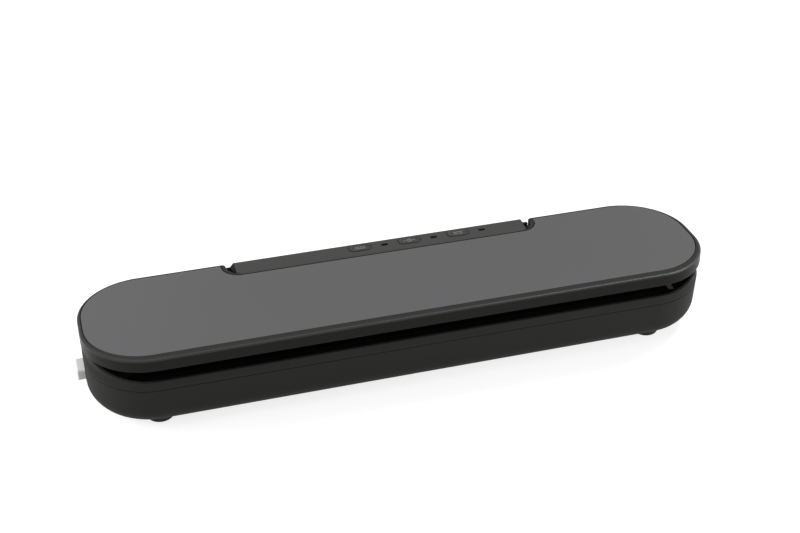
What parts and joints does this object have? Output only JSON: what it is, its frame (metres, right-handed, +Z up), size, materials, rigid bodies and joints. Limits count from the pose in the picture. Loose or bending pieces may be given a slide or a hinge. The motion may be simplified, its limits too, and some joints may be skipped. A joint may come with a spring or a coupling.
{
  "type": "vacuum sealer",
  "caption": "Slim capsule-shaped countertop vacuum sealer with a hinged lid ajar, heated seal bar, suction chamber, push keys on a rear strip and lock buttons at the ends.",
  "frame": {"origin": "middle of the footprint, on the table under the feet", "axes": "+X along the length towards the right end, +Y to the rear where the hinge is, +Z up"},
  "size_m": [0.3884, 0.0899, 0.052],
  "materials": {
    "case": "fine matte texture, dark grey",
    "lid_rim": "satin dark grey",
    "lid_plate": "satin metallic grey paint",
    "strip": "satin dark grey",
    "key": "satin dark grey",
    "window": "gloss black",
    "white": "gloss white",
    "inner": "matte black",
    "rubber": "matte black",
    "silicone": "matte dark grey",
    "hose": "matte pale",
    "steel": "plain steel",
    "brass": "plain brass",
    "phenolic": "matte brown-black",
    "tape": "black-coated glass cloth, tan where bare at one end",
    "board": "green circuit board",
    "component": "matte black",
    "winding": "taped winding on a core",
    "can": "plain can"
  },
  "bodies": {
    "base": {"base_shell": "case", "base_deck": "case", "rubber_feet": "rubber", "base_screws": "steel", "lower_gasket": "rubber", "heater_bar": "phenolic", "heating_wire": "steel", "heater_tape": "tape", "heater_terminals": "brass", "power_inlet": "inner", "inlet_pins": "brass", "power_board": "board", "transformer": "winding", "filter_capacitor": "can", "relay": "component", "pump_motor": "steel", "pump_head": "component", "pump_cradle": "component", "suction_port": "inner", "suction_hose": "hose", "lid_switch": "component", "control_panel": "strip", "control_board": "board", "tact_switches": "component", "indicator_leds": "white", "indicator_windows": "window", "hinge_pins": "steel"},
    "lid": {"lid_frame": "lid_rim", "lid_panel": "lid_plate", "lid_liner": "inner", "lid_screws": "steel", "upper_gasket": "rubber", "press_strip": "silicone", "hinge_bushes": "component", "lid_hook_left": "inner", "lid_hook_right": "inner"},
    "seal_key": {"seal_button": "key"},
    "vacuum_key": {"vacuum_button": "key"},
    "mode_key": {"mode_button": "key"},
    "lock_left": {"lock_button_left": "white", "lock_slide_left": "inner"},
    "lock_right": {"lock_button_right": "white", "lock_slide_right": "inner"},
    "rotor": {"motor_shaft": "steel"}
  },
  "joints": [
    {"name": "lid_hinge", "type": "hinge", "parent": "base", "child": "lid", "pos_m": [0, 0.0395, 0.0395], "axis": [-1, 0, 0], "range_deg": [-5.5, 64.5]},
    {"name": "seal_press", "type": "slide", "parent": "base", "child": "seal_key", "axis": [0, 0, -1], "range_m": [0, 0.0008], "stiffness_N_per_m": 800},
    {"name": "vacuum_press", "type": "slide", "parent": "base", "child": "vacuum_key", "axis": [0, 0, -1], "range_m": [0, 0.0008], "stiffness_N_per_m": 800},
    {"name": "mode_press", "type": "slide", "parent": "base", "child": "mode_key", "axis": [0, 0, -1], "range_m": [0, 0.0008], "stiffness_N_per_m": 800},
    {"name": "lock_left_push", "type": "slide", "parent": "base", "child": "lock_left", "axis": [1, 0, 0], "range_m": [0, 0.003]},
    {"name": "lock_right_push", "type": "slide", "parent": "base", "child": "lock_right", "axis": [-1, 0, 0], "range_m": [0, 0.003]},
    {"name": "rotor_spin", "type": "hinge", "parent": "base", "child": "rotor", "pos_m": [-0.1, 0.024, 0.0167], "axis": [1, 0, 0], "continuous": true}
  ]
}
